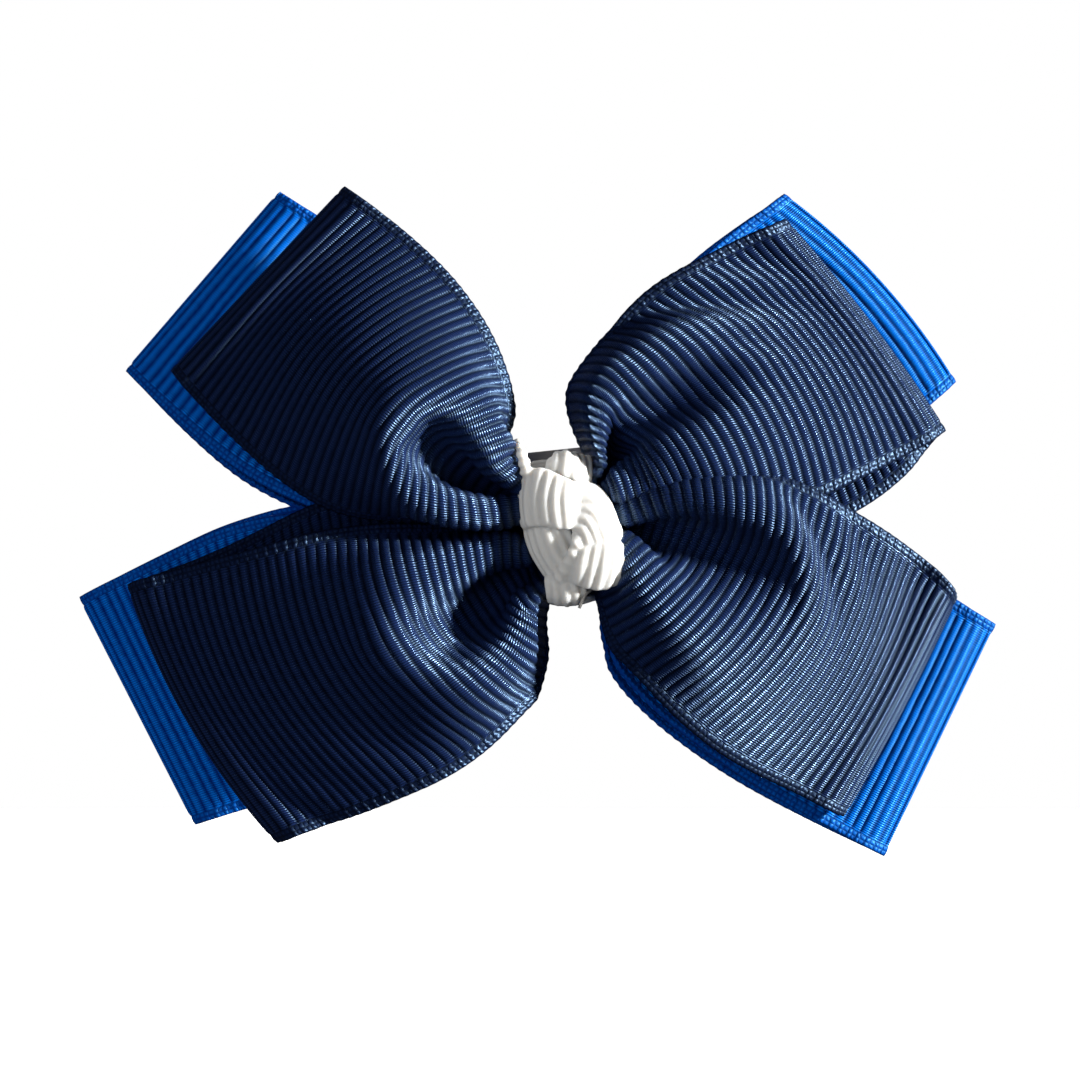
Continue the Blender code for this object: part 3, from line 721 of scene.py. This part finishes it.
def grosgrain(name, groove_shade, crest, gloss_tint, gloss, roughness):
    """Ribbed ribbon: twisted yarns run along it and shine on the ribs, and each edge is two beaded rows. Its
    colour holds painted shade, dark in the grooves between the ribs and between the beads, and painted
    glints, light on the yarn crests and on the beads' tops.
    """
    material = bpy.data.materials.new(name)
    nodes = Nodes(material)
    uv = nodes.add("ShaderNodeUVMap", uv_map="ribbon").outputs[0]
    place = nodes.add("ShaderNodeSeparateXYZ", {0: uv})
    along, across = place.outputs[0], place.outputs[1]
    drift = nodes.add("ShaderNodeTexNoise", {"Vector": uv, "Scale": 1500.0, "Detail": 3.0}).outputs[0]
    wander = nodes.math("MULTIPLY_ADD", drift, 0.6 * YARN_PITCH, across)
    rib = nodes.wave(along, RIB_PITCH)
    yarn = nodes.wave(wander, YARN_PITCH)
    from_edge = nodes.math("SUBTRACT", RIBBON_WIDTH / 2, nodes.math("ABSOLUTE", across))
    in_edge = nodes.math("LESS_THAN", from_edge, EDGE)
    shaken = nodes.math("MULTIPLY_ADD", drift, 0.5 * EDGE, along)
    bead = nodes.math("MULTIPLY", nodes.wave(shaken, EDGE / 2), nodes.wave(from_edge, EDGE / 2))
    # Painted light in the colour: the share is 0 in the grooves between the ribs, which is painted shade, and
    # 1 on the yarn crests, which are painted glints.
    ribbed = nodes.math("MULTIPLY", nodes.math("POWER", rib, 1.2), nodes.math("MULTIPLY_ADD", yarn, 0.6, 0.4))
    # On the woven edge the beads use the same share: painted lighter on their tops and darker between them.
    # The drift then adds random tone.
    share = nodes.blend(in_edge, ribbed, nodes.math("MULTIPLY_ADD", bead, 0.36, 0.1))
    share = nodes.math("MULTIPLY_ADD", nodes.math("SUBTRACT", drift, 0.5), 0.5, share)
    # The groove colour is painted shade, and the crest colour is the lightest, where the glints are painted.
    nodes.link(nodes.mix(share, (*groove_shade, 1), (*crest, 1)), "Base Color")
    nodes.link(nodes.math("MULTIPLY_ADD", share, -0.33, roughness), "Roughness")
    body_height = nodes.math("MULTIPLY_ADD", drift, 0.5, yarn)
    height = nodes.blend(in_edge, body_height, nodes.math("MULTIPLY", bead, 1.2))
    bump = nodes.add("ShaderNodeBump", {"Height": height, "Strength": 1.0, "Distance": 0.00006})
    nodes.link(bump.outputs[0], "Normal")
    nodes.shader.inputs["Specular IOR Level"].default_value = gloss
    nodes.shader.inputs["Specular Tint"].default_value = (*gloss_tint, 1)
    return material


def soft_white(name):
    """The centre ribbon's white: faintly mottled, and light shines a little way into it."""
    material = bpy.data.materials.new(name)
    nodes = Nodes(material)
    place = nodes.add("ShaderNodeTexCoord").outputs["Object"]
    mottle = nodes.add("ShaderNodeTexNoise", {"Vector": place, "Scale": 900.0, "Detail": 4.0}).outputs[0]
    nodes.link(nodes.mix(mottle, (0.62, 0.61, 0.58, 1), (0.68, 0.68, 0.67, 1)), "Base Color")
    bump = nodes.add("ShaderNodeBump", {"Height": mottle, "Strength": 0.4, "Distance": 0.00008})
    nodes.link(bump.outputs[0], "Normal")
    nodes.shader.inputs["Roughness"].default_value = 0.55
    nodes.shader.inputs["Subsurface Weight"].default_value = 1.0
    nodes.shader.inputs["Subsurface Scale"].default_value = 0.0008
    nodes.shader.inputs["Subsurface Radius"].default_value = (1.0, 0.9, 0.8)
    return material


def steel(name, colour, roughness):
    """Plated steel with a faint drawn grain and small stains."""
    material = bpy.data.materials.new(name)
    nodes = Nodes(material)
    place = nodes.add("ShaderNodeTexCoord").outputs["Object"]
    stretched = nodes.add("ShaderNodeMapping", {"Vector": place, "Scale": (200.0, 4000.0, 4000.0)}).outputs[0]
    grain = nodes.add("ShaderNodeTexNoise", {"Vector": stretched, "Scale": 1.0, "Detail": 4.0}).outputs[0]
    stain = nodes.add("ShaderNodeTexNoise", {"Vector": place, "Scale": 350.0, "Detail": 5.0}).outputs[0]
    dull = tuple(0.72 * c for c in colour)
    nodes.link(nodes.mix(stain, (*dull, 1), (*colour, 1)), "Base Color")
    rough = nodes.math("MULTIPLY_ADD", grain, 0.25, roughness)
    nodes.link(rough, "Roughness")
    bump = nodes.add("ShaderNodeBump", {"Height": grain, "Strength": 0.25, "Distance": 0.00002})
    nodes.link(bump.outputs[0], "Normal")
    nodes.shader.inputs["Metallic"].default_value = 0.55
    return material


def glue(name):
    """Cloudy hot-melt glue, lumpy and slightly clear."""
    material = bpy.data.materials.new(name)
    nodes = Nodes(material)
    place = nodes.add("ShaderNodeTexCoord").outputs["Object"]
    cloud = nodes.add("ShaderNodeTexNoise", {"Vector": place, "Scale": 500.0, "Detail": 4.0}).outputs[0]
    nodes.link(nodes.mix(cloud, (0.62, 0.60, 0.52, 1), (0.80, 0.79, 0.72, 1)), "Base Color")
    bump = nodes.add("ShaderNodeBump", {"Height": cloud, "Strength": 0.8, "Distance": 0.0002})
    nodes.link(bump.outputs[0], "Normal")
    nodes.shader.inputs["Roughness"].default_value = 0.25
    nodes.shader.inputs["Subsurface Weight"].default_value = 0.3
    nodes.shader.inputs["Subsurface Scale"].default_value = 0.001
    return material


def plain(name, colour, roughness):
    """One even colour, for the floor."""
    material = bpy.data.materials.new(name)
    nodes = Nodes(material)
    nodes.shader.inputs["Base Color"].default_value = (*colour, 1)
    nodes.shader.inputs["Roughness"].default_value = roughness
    return material


# ---------------------------------------------------------------- camera, floor and light
CAMERA_PLACE = (-0.00289, -0.310, -0.00135)
LENS = 110.9  # mm
SENSOR = 36.0  # mm
FLOOR_HALF = 0.6
FLOOR_Z = -0.075


def build_camera():
    """The camera looks straight at the bow's front, level with its knot."""
    data = bpy.data.cameras.new("camera")
    data.sensor_width = SENSOR
    data.lens = LENS
    data.clip_start = 0.01
    camera = add_object("camera", data)
    camera.location = CAMERA_PLACE
    camera.rotation_euler = (math.radians(90), 0, 0)
    bpy.context.scene.camera = camera


def lamp(name, kind, place, power, glossy=True, **settings):
    """A lamp at a place, aimed at the bow. One that isn't glossy gives soft light with no highlights."""
    data = bpy.data.lights.new(name, kind)
    data.energy = power
    for key, value in settings.items():
        setattr(data, key, value)
    made = add_object(name, data)
    made.location = place
    made.visible_glossy = glossy
    made.rotation_euler = (-Vector(place)).to_track_quat("-Z", "Y").to_euler()


def build_world():
    """The surroundings look white, but light the bow only a little, so the lamps shape it."""
    world = bpy.data.worlds.new("studio")
    world.use_nodes = True
    tree = world.node_tree
    seen = tree.nodes["Background"]
    seen.inputs["Color"].default_value = (1, 1, 1, 1)
    seen.inputs["Strength"].default_value = 1.0
    lit = tree.nodes.new("ShaderNodeBackground")
    lit.inputs["Color"].default_value = (0.80, 0.88, 1.0, 1)
    lit.inputs["Strength"].default_value = 0.03
    choice = tree.nodes.new("ShaderNodeMixShader")
    path = tree.nodes.new("ShaderNodeLightPath")
    tree.links.new(path.outputs["Is Camera Ray"], choice.inputs[0])
    tree.links.new(lit.outputs[0], choice.inputs[1])
    tree.links.new(seen.outputs[0], choice.inputs[2])
    tree.links.new(choice.outputs[0], tree.nodes["World Output"].inputs[0])
    bpy.context.scene.world = world
    bpy.context.scene.view_settings.view_transform = "Standard"


def build_lamps():
    """A sun from the right and a little in front, with soft light from the front and from behind."""
    lamp("sun", "SUN", (0.92, -0.31, 0.15), 11.0, angle=math.radians(6), color=(1.0, 0.99, 0.97))
    lamp("front_fill", "AREA", (-0.25, -0.60, -0.02), 2.4, glossy=False, size=0.5)
    lamp("rear_softbox", "AREA", (-0.15, 0.50, 0.30), 4.0, glossy=False, size=0.4)


def build_floor():
    """A pale floor below the bow, which throws no light or shadow on it."""
    mesh = bpy.data.meshes.new("floor")
    corners = [(x * FLOOR_HALF, y * FLOOR_HALF, FLOOR_Z) for x, y in ((-1, -1), (1, -1), (1, 1), (-1, 1))]
    mesh.from_pydata(corners, [], [(0, 1, 2, 3)])
    mesh.materials.append(plain("pale_floor", (0.97, 0.97, 0.97), 0.8))
    floor = add_object("floor", mesh)
    floor.visible_diffuse = False
    floor.visible_glossy = False
    floor.visible_shadow = False


# ---------------------------------------------------------------- the clip and the wires
CLIP_TILT = math.radians(6.0)
PIVOT = Vector((0.00696165, 0.0022, 0.0031317))
TILT_COS, TILT_SIN = math.cos(CLIP_TILT), math.sin(CLIP_TILT)
CLIP_AXES = Matrix(((TILT_COS, 0.0, -TILT_SIN), (0.0, 1.0, 0.0), (TILT_SIN, 0.0, TILT_COS)))
SPRING_WIRE = 0.0003  # radius of the spring's wire
GATHER_WIRE = 0.00014  # radius of the gathering wire


def tube_object(name, path, radius, material, sides=10):
    """A round wire along a path in metres, with closed ends."""
    path = np.array(path, float)
    tangent = np.gradient(path, axis=0)
    tangent /= np.linalg.norm(tangent, axis=1, keepdims=True)
    side = np.cross(tangent[0], (0.3, 0.5, 0.8))
    rings = []
    for point, direction in zip(path, tangent):
        side = side - direction * (side @ direction)
        side /= np.linalg.norm(side)
        other = np.cross(direction, side)
        turn = np.arange(sides)[:, None] * 2 * np.pi / sides
        rings.append(point + radius * (np.cos(turn) * side + np.sin(turn) * other))
    vertices = np.concatenate(rings + [path[:1], path[-1:]])
    last = len(path) * sides
    faces = []
    for ring in range(len(path) - 1):
        for i in range(sides):
            j = (i + 1) % sides
            a, b = ring * sides, (ring + 1) * sides
            faces.append((a + i, a + j, b + j, b + i))
    for i in range(sides):
        j = (i + 1) % sides
        faces.append((last, j, i))
        faces.append((last + 1, last - sides + i, last - sides + j))
    mesh = bpy.data.meshes.new(name)
    mesh.from_pydata(vertices.tolist(), [], faces)
    mesh.polygons.foreach_set("use_smooth", np.ones(len(faces), bool))
    mesh.validate()
    mesh.materials.append(material)
    return add_object(name, mesh)


def build_spring(material):
    """The torsion spring: its coil winds up as the jaw turns, with one leg on the arm and one on the jaw."""
    radius, half_length, leg, turns = 0.00135, 0.0017, 0.0080, 3
    tail_rise, tail_length = 0.0072 - 0.0026, 0.014  # the jaw's tail slants away from the arm
    lift = math.atan2(tail_rise, tail_length)
    swept = math.pi - lift + 2 * math.pi * turns
    steps = 36 * turns
    path = [(leg * (1 - i / 10), -radius, -half_length) for i in range(10)]
    for i in range(steps + 1):
        angle = -math.pi / 2 - swept * i / steps
        height = -half_length + 2 * half_length * i / steps
        path.append((radius * math.cos(angle), radius * math.sin(angle), height))
    end = np.array(path[-1])
    along_tail = np.array((math.cos(lift), math.sin(lift), 0.0))
    path += [tuple(end + leg * i / 10 * along_tail) for i in range(1, 11)]
    path = [PIVOT + CLIP_AXES @ Vector(point) for point in path]
    spring = tube_object("clip_spring_coil", path, SPRING_WIRE, material)
    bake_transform(spring)
    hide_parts("clip_spring")


def build_wire(material):
    """The navy bow's gathering wire. Its cut end shows just below the knot."""
    start = [(-0.4, -11.6, -4.2)]
    front = [(0.0, -14.0, -4.0), (0.0, -14.2, 0.0), (0.0, -14.0, 4.0)]
    back = [(0.0, -11.6, 4.2), (0.0, -9.2, 4.0), (0.0, -9.1, 0.0), (0.0, -9.2, -4.0)]
    forward = [(0.6, -11.6, -4.4), (1.6, -13.6, -5.2), (1.9, -15.4, -5.5)]
    cut_end = [(1.5, -16.6, -5.85), (1.1, -17.0, -6.2), (0.55, -17.1, -7.35)]
    path = curve_through(start + front + back + forward + cut_end, np.linspace(0, 1, 90)) * MM
    wire = tube_object("navy_gather_wire_tied", path, GATHER_WIRE, material)
    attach(wire, "bow")
    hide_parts("navy_gather_wire")


def dress_cad(materials):
    """Gives the CAD parts that stay their own materials."""
    for node, material in materials.items():
        part = bpy.data.objects[node]
        part.data.materials.clear()
        part.data.materials.append(material)


def main():
    build_camera()
    build_world()
    build_lamps()
    build_floor()
    # Each ribbon's groove colour is painted shade for its grooves, and its crest colour is its lightest, for
    # the painted glints on the yarn crests.
    materials = {
        "navy_ribbon": grosgrain(
            "navy_grosgrain",
            groove_shade=(0.0005, 0.001, 0.006),
            crest=(0.0068, 0.0162, 0.068),
            gloss_tint=(0.36, 0.62, 1.0),
            gloss=1.0,
            roughness=0.54,
        ),
        "royal_ribbon": grosgrain(
            "royal_grosgrain",
            groove_shade=(0.0, 0.016, 0.17),
            crest=(0.0005, 0.145, 0.69),
            gloss_tint=(0.15, 0.90, 1.0),
            gloss=0.55,
            roughness=0.60,
        ),
    }
    white = soft_white("white_ribbon")
    rounds = FULL_ROUNDS
    for strip in STRIPS:
        ribbon_object(strip, strip_grid(strip, rounds), materials[strip.slot])
    build_knot(white)
    wire_steel = steel("wire_steel", (0.55, 0.53, 0.50), 0.25)
    clip_steel = steel("clip_nickel", (0.45, 0.42, 0.40), 0.35)
    build_spring(wire_steel)
    build_wire(wire_steel)
    clear_glue = glue("hot_melt_glue")
    dress_cad({
        "royal_gather_wire": wire_steel,
        "clip_pin": wire_steel,
        "clip_fixed_arm": clip_steel,
        "clip_jaw": clip_steel,
        "glue_between_bows": clear_glue,
        "glue_on_clip": clear_glue,
    })


main()
